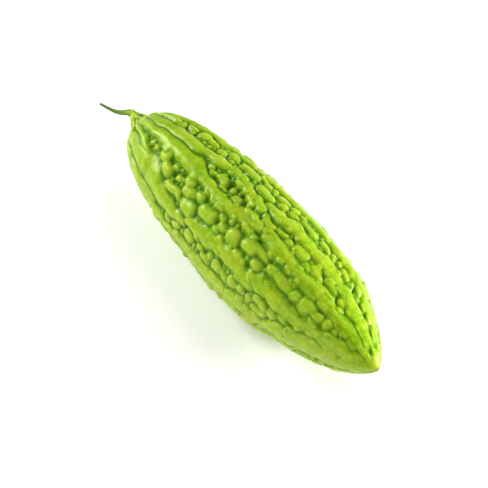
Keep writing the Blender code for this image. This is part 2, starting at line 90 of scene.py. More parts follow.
# Waves that bend the outlines of ridges and warts a little: how many, how long and how far in all, and
# the share of their sum that their peaks reach.
WAVE_SEED = 5
WAVES = 9
WAVE_PEAK = 0.65
WAVE_LENGTHS = (8 * MM, 20 * MM)
WARP = 1.3 * MM

# A slimmer end of the fruit counts as this wide where the waves go round it. The square of a bar's length
# counts as this much more, so that a round wart's isn't zero.
SLIM_RADIUS = WIDEST_RADIUS / 3
NO_LENGTH = 1e-12

# Broad swellings and hollows: (station, angle, reach along, reach round, height), in mm and degrees.
SWELLINGS = ((50, -62, 18, 26, 2.8), (-18, 112, 18, 24, 1.3), (36, 108, 14, 22, -1.5),
             (-37, 4, 19, 9, -1.6))

# Ridges on the side that shows in front: (station in mm, angle, half width in degrees) along each one.
FRONT_RIDGES = (
    ((-128, 15.5, 10.5), (-110, 15, 11), (-90, 14, 10), (-78, 13.5, 10.5), (-68, 13, 11.5),
     (-60, 16, 10), (-52, 17.5, 6.2), (-42, 19, 6.5), (-30, 18.5, 8), (-20, 14.5, 7.5), (-12, 13, 7),
     (-4, 11.5, 5)),
    ((3, 13.5, 4), (12, 13, 7.5), (22, 12, 9), (32, 14, 7.5), (42, 12.5, 9.5), (52, 11, 10.5),
     (62, 11, 10), (72, 13, 11), (82, 17, 12), (92, 18, 12), (99, 18, 12)),
    ((-128, -3.5, 10), (-115, -3, 10.5), (-100, -3.5, 10.5), (-88, -3.5, 9.5), (-78, -5, 8), (-70, -7, 7),
     (-60, -10, 6.5), (-50, -13, 6.5), (-40, -13.5, 5.5), (-30, -9.5, 5), (-20, -6, 5.5), (-13, -5, 4)),
    ((-14, -13, 4), (-5, -13, 7), (5, -15, 7), (15, -16, 7.5), (25, -16, 8), (35, -17, 9),
     (45, -20, 9.5), (55, -17, 10.5), (65, -15, 12), (75, -14, 12), (85, -13, 11), (99, -12, 11)),
    ((-128, -19, 6), (-115, -19, 6.5), (-106, -20, 5.5)),
    ((-128, -38, 9), (-110, -37, 9), (-90, -40, 8), (-70, -44, 8), (-50, -47, 8), (-30, -50, 7),
     (-10, -50, 7.5), (10, -50, 8), (30, -52, 8), (50, -50, 9), (70, -46, 10), (85, -43, 11),
     (99, -42, 11)),
    ((-128, 55, 12), (-115, 55, 13.5), (-105, 54, 15), (-97, 53, 17.5), (-90, 56, 17), (-80, 59.5, 14),
     (-70, 64, 11.5), (-60, 67, 8), (-54, 66, 5)),
    ((-128, 84, 16), (-110, 84, 16), (-95, 86, 16), (-80, 88, 13), (-68, 91, 8)),
    ((-122, 72, 5), (-104, 73, 6), (-88, 75, 5), (-76, 78, 3)),
    ((-124, 29, 6), (-116, 31, 7), (-108, 35.5, 6.5), (-102, 40, 6), (-97, 44, 5)),
    ((-43, 58, 6), (-36, 58, 10), (-28, 55, 9.5), (-18, 53, 9), (-8, 52, 9), (0, 52, 10),
     (8, 56, 8.5), (16, 60, 5.5)),
    ((14, 49, 5.5), (20, 49, 9), (28, 50, 9.5), (38, 52, 9.5), (50, 53, 9), (60, 52, 11),
     (70, 51, 13), (80, 51, 15), (90, 51, 16), (99, 51, 16)),
    ((-62, 92, 5), (-48, 90, 8), (-30, 90, 9), (-10, 92, 9), (10, 90, 9), (30, 92, 9),
     (45, 89, 12), (56, 84, 17), (68, 80, 18), (82, 78, 20), (99, 76, 21)),
)

# The warts that stand out in front: (station, angle, half length, radius), all but the angle in mm.
FRONT_WARTS = (
    (-95, 29, 0.5, 2.2), (-89, 23.5, 1, 2.6), (-85, 29.5, 1.2, 4.1), (-77.5, 37, 1.5, 4),
    (-73.5, 28.5, 0.8, 2), (-66, 34.5, 0.6, 1.9), (-63, 32.5, 0.4, 1.5), (-64, 46.5, 5.5, 3.2),
    (-59, 29.5, 1.2, 3.2), (-54.5, 36.5, 1.8, 3.6), (-45.5, 31.5, 0.8, 3.3), (-47.5, 50, 2.6, 4.4),
    (-34.5, 38.5, 2.6, 4.6), (-50, 64, 4, 3), (-38, 72, 1, 3), (-24, 43, 1, 2.8), (-25, 30, 1.2, 2.4),
    (-21, 36.5, 0.6, 3), (-18.5, 26.5, 0.3, 2.1), (-11.5, 33.2, 1, 4.2), (-7, 39.5, 0.2, 2.2),
    (-7, 20, 1.4, 2.6), (-1.5, 45.5, 1, 3), (1.5, 31, 2.8, 3.6), (11.3, 39.3, 0.6, 2.8),
    (9, 25.5, 4.5, 2.7), (-1, 21, 1.5, 2), (21.5, 31, 1, 3.4), (31.5, 33, 5, 3), (36, 26, 1.2, 2.2),
    (38, 34.5, 0.3, 1.6), (42.4, 32.3, 1.2, 3.4), (51.2, 31.8, 1, 4.6), (58, 33.7, 1.5, 3),
    (-54, 4.5, 0.8, 2.3), (-46.5, 2, 2.2, 2.4), (-40.5, 8.5, 2.2, 1.7), (-35.5, 2.5, 0.8, 2.2),
    (-28.5, 7, 1, 2.7), (-20.6, 3, 0.6, 2), (-53, -1.5, 0.6, 1.3), (-48.5, -3.5, 0.8, 1.2),
    (-15.2, 6, 3.2, 2.3), (-8, -3, 1.5, 2), (-2.5, 2.5, 2.8, 2.6), (4, 6.5, 4.5, 2.4), (7.5, -1, 3, 2),
    (15.5, -0.5, 1, 2.4), (17.5, 5.5, 0.5, 1.8), (24.8, -1.5, 2.6, 3.4), (32.5, -4.5, 0.5, 1.8),
    (34.5, 3.5, 1.2, 2.8), (37, -3, 1, 3), (41, -0.5, 1.5, 3), (50.5, -7, 3, 2.8), (-27, 70, 0.8, 2.8),
    (-22, 75, 1.2, 2.8), (-11, 71, 1.6, 3.2), (-3, 73, 0.8, 2.6), (18.5, 72, 0.8, 2.2),
    (24.5, 65.5, 0.8, 2.5), (29.5, 67.5, 0.6, 2.8), (27, 78, 3, 2.4), (36, 70, 1.4, 2.8),
    (43.5, 65.5, 0.8, 2.4), (42.5, 76.5, 0.8, 2.4), (50, 70, 2.2, 1.9), (-99, -20, 1, 2.4),
    (-93.5, -25, 1.8, 2.6), (-82.7, -26.6, 1.5, 3.3), (-74.5, -25.7, 1.5, 2.8), (-65, -23, 1.5, 2.6),
    (-43.5, -29.5, 5, 3.3), (-23.5, -20, 5, 3.3), (-35.5, -36.5, 1, 2.6), (-14, -33, 2.5, 2.6),
    (-1.5, -26.5, 2.5, 2.2), (12, -30, 5, 2.6), (26, -34, 2, 2.6),
)

# The legs of the neck, which run down between the heads of the ridges: each one's angle, and the half
# width in degrees at a few stations in mm along them all.
NECK_LEGS = (5, 47, 95, 140, 185, 230, 275, 320)
LEG_WIDTHS = ((-140, 26), (-132, 15), (-124, 3))

# Ridges on the side behind follow a rule, each in two or three pieces.
BACK_RIDGES = 6
BACK_ANGLES = (122, 282)
BACK_ENDS = (-128, 99)
BACK_BREAKS = ((-72, -38), (12, 40))
BACK_GAP = 7
BACK_STEP = 14
BACK_FEWEST = 3
BACK_SWAY = 3.5
BACK_HALF_WIDTH = (7.0, 9.5)

# Lobes along the edges of the ridges: from which station, how far apart, and their radii, all in mm,
# how far they stretch, how far out they sit and how high they are, as shares.
LOBE_SEED = 23
LOBE_START = -58
LOBE_SPACING = (6.0, 13.0)
LOBE_RADII = (1.8, 3.0)
LOBE_STRETCH = (0, 1)
LOBE_OFFSET = (0.6, 0.95)
LOBE_HEIGHT = (0.75, 0.97)

# Warts fill what the ridges leave, the roomiest place first. A wart's foot reaches into its neighbours
# by the bite, a share of its radius. The largest radius allowed varies from place to place.
WART_SEED = 11
WART_SPACING = 0.9 * MM
WART_BITE = 0.42
WART_SMALLEST = 1.3 * MM
WART_LARGEST = (2.0 * MM, 5.0 * MM)
WART_PATCH = 7 * MM
WART_STRETCHES = (1.1, 0.8, 0.5, 0.25)
WART_END_ROOM = 0.54
WART_TILT = 25
WART_LIFT = (0.86, 1.06)
WART_EDGE = 4 * MM

# How finely the skin is drawn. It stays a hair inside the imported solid, by the inset or by that share of
# a slimmer end's radius. Its grain is stretched along the fruit and fades out where the fruit gets slim.
MERIDIAN_STEPS = 4001
RINGS = 328
COLUMNS = 300
SKIN_INSET = 0.12 * MM
SKIN_INSET_SHARE = 0.05
GRAIN_SIZE = 2.2 * MM
GRAIN_DEPTH = 0.16 * MM
GRAIN_STRETCH = 0.6
GRAIN_START_RADIUS = 10 * MM
# The crease measure, which places the painted shade in the creases and the painted highlight on the tops:
# how many rounds it smooths over, and how deep a crease counts as full.
CREASE_ROUNDS = 26
CREASE_DEPTH = 1.1 * MM

# The stem: points along its middle, outwards from the seat's centre, with its radius at each, in mm.
STEM_PATH = ((0.5, 0, 0, 2.75), (0, 0, 0, 2.7), (-1.6, -0.8, 0.1, 2.3), (-3.5, -3.0, -0.5, 1.9),
             (-5.9, -6.1, -0.5, 1.5), (-8.7, -8.8, 0.8, 1.2), (-12.4, -11.0, 2.1, 1.0),
             (-16.3, -12.8, 2.9, 0.85))
SEAT_GAP = 0.3 * MM
STEM_RIBS = 5
STEM_RIB_DEPTH = 0.14
STEM_SIDES = 40
STEM_STEP = 0.35 * MM
STEM_LINE_STEPS = 4
STEM_SMOOTHINGS = 3

# The studio, in metres and watts: how far the floor reaches, how bright the white all round is, and soft
# square lamps that look at the gourd. Each lamp has its name, place, width and power.
FLOOR_REACH = 3.0
ROOM_LIGHT = 0.26
LAMP_AIM = (0, 0, 0.03)
LAMPS = (
    ("window lamp", (0.0, 0.6, 1.2), 0.5, 3.6),
    ("tip lamp", (0.5, 0.5, 0.2), 0.2, 10.5),
    ("side lamp", (-0.95, -0.35, 0.6), 0.4, 14),
    ("front lamp", (0.3, -1.0, 0.4), 0.5, 4.5),
)

# The camera looks from the photograph's side, at a target that it sees a little off its middle.
CAMERA_AZIMUTH = 53
CAMERA_ELEVATION = 52
CAMERA_DISTANCE = 1.0
CAMERA_TARGET = (17 * MM, -0.6 * MM, 36 * MM)
CAMERA_ASIDE = -16.2 * MM
CAMERA_UP = 11.2 * MM
CAMERA_LENS = 125.4
CAMERA_SENSOR = 36

# Kinds of node that come up often.
MATH = "ShaderNodeMath"
MAP_RANGE = "ShaderNodeMapRange"
NOISE = "ShaderNodeTexNoise"
READ = "GeometryNodeInputNamedAttribute"


def linear(hex_colour):
    """A hex colour as the linear values that shaders take."""
    values = [int(hex_colour[i:i + 2], 16) / 255 for i in (1, 3, 5)]
    return (*(v / 12.92 if v <= 0.04045 else ((v + 0.055) / 1.055) ** 2.4 for v in values), 1.0)


def add(tree, kind, settings=None, *values, **inputs):
    """Adds a node. A word as settings is its operation. Inputs are given in order or by name, where in_0
    is the first one, and each is a value, a socket or a node, whose first output it takes."""
    node = tree.nodes.new(kind)
    if isinstance(settings, str):
        settings = {"operation": settings}
    for name, value in (settings or {}).items():
        setattr(node, name, value)
    inputs.update((f"in_{place}", value) for place, value in enumerate(values))
    for name, value in inputs.items():
        key = int(name[3:]) if name.startswith("in_") else name.replace("_", " ")
        if isinstance(value, bpy.types.Node):
            value = value.outputs[0]
        if isinstance(value, bpy.types.NodeSocket):
            tree.links.new(value, node.inputs[key])
        else:
            node.inputs[key].default_value = value
    return node


def smooth_step(value):
    """An even rise from 0 to 1 with soft ends."""
    value = np.clip(value, 0, 1)
    return value * value * (3 - 2 * value)


def half_oval(station, half_length, fullness):
    """The radius of a blunt oval at a distance from its widest ring."""
    inside = 1 - np.minimum(np.abs(station) / half_length, 1) ** fullness[0]
    return WIDEST_RADIUS * inside ** (1 / fullness[1])


def girth(station):
    """The fruit's outer radius at a station."""
    station = np.asarray(station, float)
    stem_side = half_oval(station, STEM_HALF, STEM_FULLNESS)
    tip_side = half_oval(station, TIP_HALF, TIP_FULLNESS)
    share = np.clip((station - NECK_END) / (NECK_FOOT - NECK_END), 0, 1)
    neck = NECK_RADII[0] + (NECK_RADII[1] - NECK_RADII[0]) * share**NECK_FLARE
    return np.where(station < 0, np.maximum(stem_side, neck), tip_side)


def meridian():
    """Close stations from the seat to the tip, and the distance along the skin to each."""
    steps = np.linspace(0, math.pi, MERIDIAN_STEPS)
    stations = (TIP_HALF + NECK_END) / 2 - (TIP_HALF - NECK_END) / 2 * np.cos(steps)
    radii = girth(stations)
    along = np.concatenate([[0], np.cumsum(np.hypot(np.diff(stations), np.diff(radii)))])
    return stations, along


STATIONS, ALONG = meridian()
SKIN_LENGTH = ALONG[-1]


def along_skin(station):
    """The distance along the skin from the seat to a station."""
    return float(np.interp(station, STATIONS, ALONG))


def turned(angle):
    """An angle brought to between -pi and pi."""
    return (np.asarray(angle) + math.pi) % (2 * math.pi) - math.pi


def middle_line(station):
    """Where the middle of the fruit is at a station: (x, y, z)."""
    bend = ((station - REST_STATION) / BEND_REACH) ** 2
    height = float(girth(REST_STATION)) - PRESSED_DEPTH
    lean = smooth_step((station - TIP_LEAN_START) / (TIP_HALF - TIP_LEAN_START))
    neck = np.clip((NECK_FOOT - station) / (NECK_FOOT - NECK_END), 0, 1) ** NECK_CURVE
    return (station - REST_STATION, END_SWING * bend + TIP_LEAN[0] * lean,
            height + END_RISE * bend + TIP_LEAN[1] * lean + NECK_RISE * neck)


def bar(start, end, fullness):
    """One rounded bar of the relief between two ends, each (along, angle, half width, height)."""
    return (*start, *end, fullness)


def ridge_bars(points):
    """A ridge from its points (station in mm, angle, half width in degrees), one bar for each stretch."""
    ends = []
    rng = np.random.default_rng(RIDGE_SEED + round(abs(points[0][1])))
    for station, angle, half_width in points:
        width = FOOT_SHARE * math.radians(half_width) * float(girth(station * MM))
        height = RIDGE_HEIGHT * (1 - rng.uniform(0, RIDGE_DIP))
        ends.append((*settled(along_skin(station * MM), math.radians(angle)), width, height))
    return [bar(a, b, RIDGE_FULLNESS) for a, b in zip(ends, ends[1:])]


def back_ridges(rng):
    """The ridges behind: evenly spaced, swaying, broken where the front ones would be too."""
    ridges = []
    for angle in np.linspace(*BACK_ANGLES, BACK_RIDGES):
        cuts = [BACK_ENDS[0], *(rng.uniform(*between) for between in BACK_BREAKS), BACK_ENDS[1]]
        for first, last in zip(cuts, cuts[1:]):
            shift = rng.uniform(-BACK_SWAY, BACK_SWAY)
            start = first if first <= BACK_ENDS[0] else first + BACK_GAP
            count = max(BACK_FEWEST, round((last - start) / BACK_STEP))
            points = []
            for station in np.linspace(start, last, count):
                sway = rng.uniform(-BACK_SWAY, BACK_SWAY) / 2
                points.append((station, angle + shift + sway, rng.uniform(*BACK_HALF_WIDTH)))
            ridges.append(points)
    return ridges


def neck_legs():
    """The legs as ridges that taper out over the shoulder of the fruit."""
    return [[(station, angle, half_width) for station, half_width in LEG_WIDTHS] for angle in NECK_LEGS]


def wart_bar(along, angle, half_length, radius, tilt=0.0, lift=1.0):
    """A wart as a short bar that lies nearly along the fruit."""
    local = float(girth(np.interp(along, ALONG, STATIONS)))
    reach = half_length * math.cos(tilt)
    swing = half_length * math.sin(tilt) / max(local, radius)
    height = min((WART_RISE[0] + WART_RISE[1] * radius) * lift, RIDGE_HEIGHT)
    start = (along - reach, angle - swing, radius, height)
    end = (along + reach, angle + swing, radius, height)
    return bar(start, end, WART_FULLNESS)


def ridge_lobes(ridges, rng):
    """Bumps along both edges of every ridge, which make its outline lobed."""
    lobes = []
    for ridge in ridges:
        for side in (-1, 1):
            station = max(ridge[0][0], LOBE_START) + rng.uniform(*LOBE_SPACING)
            while station < ridge[-1][0]:
                points = np.array(ridge, float)
                angle = math.radians(np.interp(station, points[:, 0], points[:, 1]))
                half = math.radians(np.interp(station, points[:, 0], points[:, 2]))
                angle += side * half * rng.uniform(*LOBE_OFFSET)
                radius = rng.uniform(*LOBE_RADII) * MM
                height = RIDGE_HEIGHT * rng.uniform(*LOBE_HEIGHT)
                stretch = rng.uniform(*LOBE_STRETCH) * radius
                along = along_skin(station * MM)
                lobes.append(bar((along - stretch, angle, radius, height),
                                 (along + stretch, angle, radius, height), WART_FULLNESS))
                station += rng.uniform(*LOBE_SPACING)
    return lobes


def cut_room(room, along, angle, radii, one):
    """Lowers the room round each place of a grid to its distance from the edge of one more bar."""
    start, turn, width, _, end, end_turn, end_width, _, _ = one
    margin = max(width, end_width) + 2 * WART_LARGEST[1]
    first, last = np.searchsorted(along, (min(start, end) - margin, max(start, end) + margin))
    rows = slice(first, last)
    local = radii[rows, None]
    run = along[rows, None] - start
    side = turned(angle[None, :] - turn) * local
    bar_run, bar_side = end - start, turned(end_turn - turn) * local
    share = np.clip((run * bar_run + side * bar_side) / (bar_run**2 + bar_side**2 + NO_LENGTH), 0, 1)
    gap = np.hypot(run - share * bar_run, side - share * bar_side)
    room[rows] = np.minimum(room[rows], gap - (width + share * (end_width - width)))


def wart_limits(along, angle, rng):
    """The largest wart radius allowed at each place of a grid: random, much the same within a patch."""
    rows = round(SKIN_LENGTH / WART_PATCH)
    columns = round(2 * math.pi * WIDEST_RADIUS / WART_PATCH)
    patches = rng.uniform(*WART_LARGEST, (rows, columns))
    row = (along / WART_PATCH).astype(int) % rows
    column = ((angle + math.pi) * WIDEST_RADIUS / WART_PATCH).astype(int) % columns
    return patches[row[:, None], column[None, :]]


def pack_warts(bars, rng):
    """Fills what the ridges leave with warts, each as large as its place allows."""
    along = np.arange(WART_EDGE, SKIN_LENGTH - WART_EDGE, WART_SPACING)
    angle = np.linspace(-math.pi, math.pi, round(2 * math.pi * WIDEST_RADIUS / WART_SPACING), endpoint=False)
    radii = girth(np.interp(along, ALONG, STATIONS))
    room = np.full((len(along), len(angle)), 1.0)
    for one in bars:
        cut_room(room, along, angle, radii, one)
    limits = wart_limits(along, angle, rng)
    bars = list(bars)
    while True:
        size = np.minimum(room / (1 - WART_BITE), limits)
        row, column = np.unravel_index(np.argmax(size), size.shape)
        radius = size[row, column]
        if radius < WART_SMALLEST:
            return np.array(bars)
        tilt = math.radians(rng.uniform(-WART_TILT, WART_TILT))
        stretch = wart_stretch(room, row, column, radius, radii[row], tilt, angle[1] - angle[0])
        bars.append(wart_bar(along[row], angle[column], stretch, radius, tilt, rng.uniform(*WART_LIFT)))
        cut_room(room, along, angle, radii, bars[-1])


def wart_stretch(room, row, column, radius, local, tilt, column_step):
    """How long a wart can be at its place: half the distance between its two ends."""
    for share in WART_STRETCHES:
        half = share * radius
        rows = round(half * math.cos(tilt) / WART_SPACING)
        columns = round(half * math.sin(tilt) / max(local, radius) / column_step)
        above, below = max(row - rows, 0), min(row + rows, room.shape[0] - 1)
        left, right = (column - columns) % room.shape[1], (column + columns) % room.shape[1]
        if min(room[above, left], room[below, right]) > radius * WART_END_ROOM:
            return half
    return 0.0


def relief_bars():
    """Every ridge and wart of the skin as rounded bars."""
    rng = np.random.default_rng(WART_SEED)
    ridges = [*FRONT_RIDGES, *back_ridges(rng)]
    bars = [b for ridge in (*ridges, *neck_legs()) for b in ridge_bars(ridge)]
    bars += ridge_lobes(ridges, np.random.default_rng(LOBE_SEED))
    for station, angle, half_length, radius in FRONT_WARTS:
        along, turn = settled(along_skin(station * MM), math.radians(angle))
        bars.append(wart_bar(along, turn, half_length * MM, WART_FOOT_SHARE * radius * MM))
    return pack_warts(bars, rng)


def end_fade(along):
    """How much of its full height the relief has, lower towards the two ends."""
    tip = TIP_FADE[0] + (1 - TIP_FADE[0]) * smooth_step((SKIN_LENGTH - along) / TIP_FADE[1])
    stem = STEM_FADE[0] + (1 - STEM_FADE[0]) * smooth_step(along / STEM_FADE[1])
    share, start, length = TIP_HALF_FADE
    return tip * stem * (1 - (1 - share) * smooth_step((along - start) / length))


def wobble(along, angle):
    """Two smooth random shifts of a place on the skin, along the fruit and round it."""
    rng = np.random.default_rng(WAVE_SEED)
    lengths = np.geomspace(*WAVE_LENGTHS, WAVES)
    shifts = []
    for _ in range(2):
        total = 0
        for length in lengths:
            heading = rng.uniform(0, math.pi)
            turns = round(math.cos(heading) * 2 * math.pi * WIDEST_RADIUS / length)
            phase = rng.uniform(0, 2 * math.pi)
            run = math.sin(heading) * along * 2 * math.pi / length
            total = total + length * np.sin(run + turns * angle + phase)
        shifts.append(total * WARP / (WAVE_PEAK * lengths.sum()))
    return shifts


def settled(along, angle):
    """A place moved so that the wobble brings it back to where it was meant."""
    shift_along, shift_side = wobble(along, angle)
    radius = max(float(girth(np.interp(along, ALONG, STATIONS))), SLIM_RADIUS)
    return float(along + shift_along), float(angle + shift_side / radius)


def swelling(station, angle):
    """How far the fruit's broad swellings stand out at each place."""
    total = np.zeros((len(station), len(angle)))
    for middle, turn, reach, spread, height in SWELLINGS:
        run = (station[:, None] / MM - middle) / reach
        side = turned(angle[None, :] - math.radians(turn)) / math.radians(spread)
        total += height * MM * np.exp(-(run**2 + side**2))
    return total


def relief(along, angle, bars):
    """Height of the skin over the valley floor, on a grid of rings (along) and columns (angle)."""
    radius = girth(np.interp(along, ALONG, STATIONS))[:, None]
    shift_along, shift_side = wobble(along[:, None], angle[None, :])
    warped_along = along[:, None] + shift_along
    warped_side = angle[None, :] + shift_side / np.maximum(radius, SLIM_RADIUS)
    height = np.zeros((len(along), len(angle)))
    foot = SOFT_EDGE**DOME_POWER
    for start, turn, width, top, end, end_turn, end_width, end_top, fullness in bars:
        margin = max(width, end_width) + 2 * WARP
        rows = np.flatnonzero((along > min(start, end) - margin) & (along < max(start, end) + margin))
        if not len(rows):
            continue
        rows = slice(rows[0], rows[-1] + 1)
        local = radius[rows]
        run = warped_along[rows] - start
        side = turned(warped_side[rows] - turn) * local
        bar_run, bar_side = end - start, turned(end_turn - turn) * local
        share = np.clip((run * bar_run + side * bar_side) / (bar_run**2 + bar_side**2 + NO_LENGTH), 0, 1)
        gap = np.hypot(run - share * bar_run, side - share * bar_side)
        across = gap / (DOME_SPREAD * (width + share * (end_width - width)))
        inside = np.clip(1 - across**fullness, 0, 1)
        dome = ((inside + SOFT_EDGE) ** DOME_POWER - foot) / ((1 + SOFT_EDGE) ** DOME_POWER - foot)
        height[rows] = np.maximum(height[rows], dome * (top + share * (end_top - top)))
    return height


def soften(height):
    """Rounds the creases off a little, over each point's neighbours."""
    across = (np.roll(height, 1, 1) + 2 * height + np.roll(height, -1, 1)) / 4
    padded = np.vstack([across[:1], across, across[-1:]])
    return (padded[:-2] + 2 * padded[1:-1] + padded[2:]) / 4


def crease(height):
    """How deep each place lies in a crease, from 0 to 1: below the average of what is round it."""
    smooth = height
    for _ in range(CREASE_ROUNDS):
        smooth = soften(smooth)
    return smooth_step(0.5 + (smooth - height) / (2 * CREASE_DEPTH))


def pressed_share(station, angle):
    """Where the skin is pressed flat on what it lies on, from 0 to 1."""
    side = np.sin(angle)[None, :] * (girth(station)[:, None] + swelling(station, angle))
    reach = np.hypot((station[:, None] - REST_STATION) / SPOT_HALF_LENGTH, side / SPOT_HALF_WIDTH)
    return np.where(np.cos(angle)[None, :] < 0, 1 - smooth_step((reach - SPOT_EDGE[0]) / SPOT_EDGE[1]), 0)


def skin_chart():
    """The skin's closed net of faces, with its relief and its place on the fruit as attributes."""
    along = np.linspace(0, SKIN_LENGTH, RINGS + 1)[:-1]
    angle = np.linspace(-math.pi, math.pi, COLUMNS, endpoint=False)
    station = np.interp(along, ALONG, STATIONS)
    height = relief(along, angle, relief_bars())
    pressed = pressed_share(station, angle)
    height += pressed * (RIDGE_HEIGHT - height)
    shape = height.shape
    values = {
        "station": np.broadcast_to(station[:, None], shape),
        "turn": np.broadcast_to(angle[None, :], shape),
        "depth": end_fade(along)[:, None] * (RIDGE_HEIGHT - height),
        "swell": swelling(station, angle),
        "rise": height / RIDGE_HEIGHT,
        "crease": crease(height),
    }
    # The same values in the middle of the seat and at the tip.
    poles = {
        "station": (NECK_END, TIP_HALF), "turn": (0, 0), "depth": (girth(NECK_END), 0), "swell": (0, 0),
        "rise": (1, 1), "crease": (0.5, 0.5),
    }
    mesh = bpy.data.meshes.new("gourd skin")
    points = np.zeros((RINGS * COLUMNS + 2, 3))
    mesh.from_pydata(points, [], skin_faces())
    for name, value in values.items():
        data = np.concatenate([np.asarray(value, float).ravel(), poles[name]])
        mesh.attributes.new(name, "FLOAT", "POINT").data.foreach_set("value", data)
    mesh.shade_smooth()
    return mesh


def skin_faces():
    """Quads between neighbouring rings and fans of triangles at the two ends, all facing out."""
    seat = RINGS * COLUMNS
    faces = []
    for column in range(COLUMNS):
        following = (column + 1) % COLUMNS
        faces.append((following, column, seat))
        for ring in range(RINGS - 1):
            low, high = ring * COLUMNS, (ring + 1) * COLUMNS
            faces.append((low + column, low + following, high + following, high + column))
        last = (RINGS - 1) * COLUMNS
        faces.append((last + column, last + following, seat + 1))
    return faces


def interface(tree, sizes):
    """Gives a node tree a mesh input, a named number for each size, a material and a mesh output."""
    tree.interface.new_socket("Mesh", in_out="INPUT", socket_type="NodeSocketGeometry")
    for name in sizes:
        tree.interface.new_socket(name, in_out="INPUT", socket_type="NodeSocketFloat")
    tree.interface.new_socket("Material", in_out="INPUT", socket_type="NodeSocketMaterial")
    tree.interface.new_socket("Mesh", in_out="OUTPUT", socket_type="NodeSocketGeometry")
    return tree.nodes.new("NodeGroupInput").outputs


def apply_tree(obj, tree, sizes, material):
    """Runs a node tree on an object with its sizes set, and keeps the result as a plain mesh."""
    modifier = obj.modifiers.new(tree.name, "NODES")
    modifier.node_group = tree
    for item in tree.interface.items_tree:
        if item.in_out == "INPUT" and item.name in sizes:
            modifier[item.identifier] = sizes[item.name]
        elif item.in_out == "INPUT" and item.name == "Material":
            modifier[item.identifier] = material
    graph = bpy.context.evaluated_depsgraph_get()
    mesh = bpy.data.meshes.new_from_object(obj.evaluated_get(graph))
    obj.modifiers.clear()
    obj.data = mesh


def close_tree(tree, geometry, material):
    """Ends a node tree: real mesh, its material, the output."""
    real = add(tree, "GeometryNodeRealizeInstances", Geometry=geometry)
    painted = add(tree, "GeometryNodeSetMaterial", Geometry=real, Material=material)
    add(tree, "NodeGroupOutput", Mesh=painted)


WRAP_SIZES = {
    "Stem Half": STEM_HALF, "Tip Half": TIP_HALF, "Widest Radius": WIDEST_RADIUS,
    "Stem Fullness A": STEM_FULLNESS[0], "Stem Fullness B": STEM_FULLNESS[1],
    "Tip Fullness A": TIP_FULLNESS[0], "Tip Fullness B": TIP_FULLNESS[1],
    "Neck End": NECK_END, "Neck Foot": NECK_FOOT, "Neck Flare": NECK_FLARE, "Neck Curve": NECK_CURVE,
    "Neck End Radius": NECK_RADII[0], "Neck Foot Radius": NECK_RADII[1], "Neck Rise": NECK_RISE,
    "Rest Station": REST_STATION, "Rest Height": float(girth(REST_STATION)) - PRESSED_DEPTH,
    "Bend Reach": BEND_REACH, "End Rise": END_RISE, "End Swing": END_SWING,
    "Tip Lean Side": TIP_LEAN[0], "Tip Lean Up": TIP_LEAN[1], "Tip Lean Start": TIP_LEAN_START,
    "Inset": SKIN_INSET, "Inset Share": SKIN_INSET_SHARE, "Grain Size": GRAIN_SIZE,
    "Grain Depth": GRAIN_DEPTH, "Grain Stretch": GRAIN_STRETCH, "Grain Start": GRAIN_START_RADIUS,
}


def tree_oval(tree, station, half, first, second, radius):
    """A blunt half oval's radius at a station, in nodes."""
    distance = add(tree, MATH, "DIVIDE", add(tree, MATH, "ABSOLUTE", station), half)
    share = add(tree, MATH, "MINIMUM", distance, 1.0)
    inside = add(tree, MATH, "SUBTRACT", 1.0, add(tree, MATH, "POWER", share, first))
    rounded = add(tree, MATH, "POWER", inside, add(tree, MATH, "DIVIDE", 1.0, second))
    return add(tree, MATH, "MULTIPLY", radius, rounded)


def tree_girth(tree, station, size):
    """The fruit's outer radius at a station, in nodes."""
    stem_side = tree_oval(tree, station, size["Stem Half"], size["Stem Fullness A"],
                          size["Stem Fullness B"], size["Widest Radius"])
    tip_side = tree_oval(tree, station, size["Tip Half"], size["Tip Fullness A"],
                         size["Tip Fullness B"], size["Widest Radius"])
    share = add(tree, MAP_RANGE, Value=station, From_Min=size["Neck End"], From_Max=size["Neck Foot"])
    flare = add(tree, MATH, "POWER", share, size["Neck Flare"])
    growth = add(tree, MATH, "SUBTRACT", size["Neck Foot Radius"], size["Neck End Radius"])
    neck = add(tree, MATH, "MULTIPLY_ADD", flare, growth, size["Neck End Radius"])
    necked = add(tree, MATH, "MAXIMUM", stem_side, neck)
    before = add(tree, MATH, "LESS_THAN", station, 0.0)
    return add(tree, "ShaderNodeMix", {"data_type": "FLOAT"}, in_0=before, in_2=tip_side, in_3=necked)


def tree_middle(tree, station, size):
    """Where the middle of the fruit is at a station, in nodes: its X, Y and Z."""
    run = add(tree, MATH, "SUBTRACT", station, size["Rest Station"])
    distance = add(tree, MATH, "ABSOLUTE", add(tree, MATH, "DIVIDE", run, size["Bend Reach"]))
    bend = add(tree, MATH, "POWER", distance, 2.0)
    lean = add(tree, MAP_RANGE, {"interpolation_type": "SMOOTHSTEP"}, Value=station,
               From_Min=size["Tip Lean Start"], From_Max=size["Tip Half"])
    share = add(tree, MAP_RANGE, Value=station, From_Min=size["Neck Foot"], From_Max=size["Neck End"])
    rise = add(tree, MATH, "POWER", share, size["Neck Curve"])
    leaned = add(tree, MATH, "MULTIPLY", lean, size["Tip Lean Side"])
    y = add(tree, MATH, "MULTIPLY_ADD", bend, size["End Swing"], leaned)
    z = add(tree, MATH, "MULTIPLY_ADD", bend, size["End Rise"], size["Rest Height"])
    z = add(tree, MATH, "MULTIPLY_ADD", lean, size["Tip Lean Up"], z)
    return run, y, add(tree, MATH, "MULTIPLY_ADD", rise, size["Neck Rise"], z)


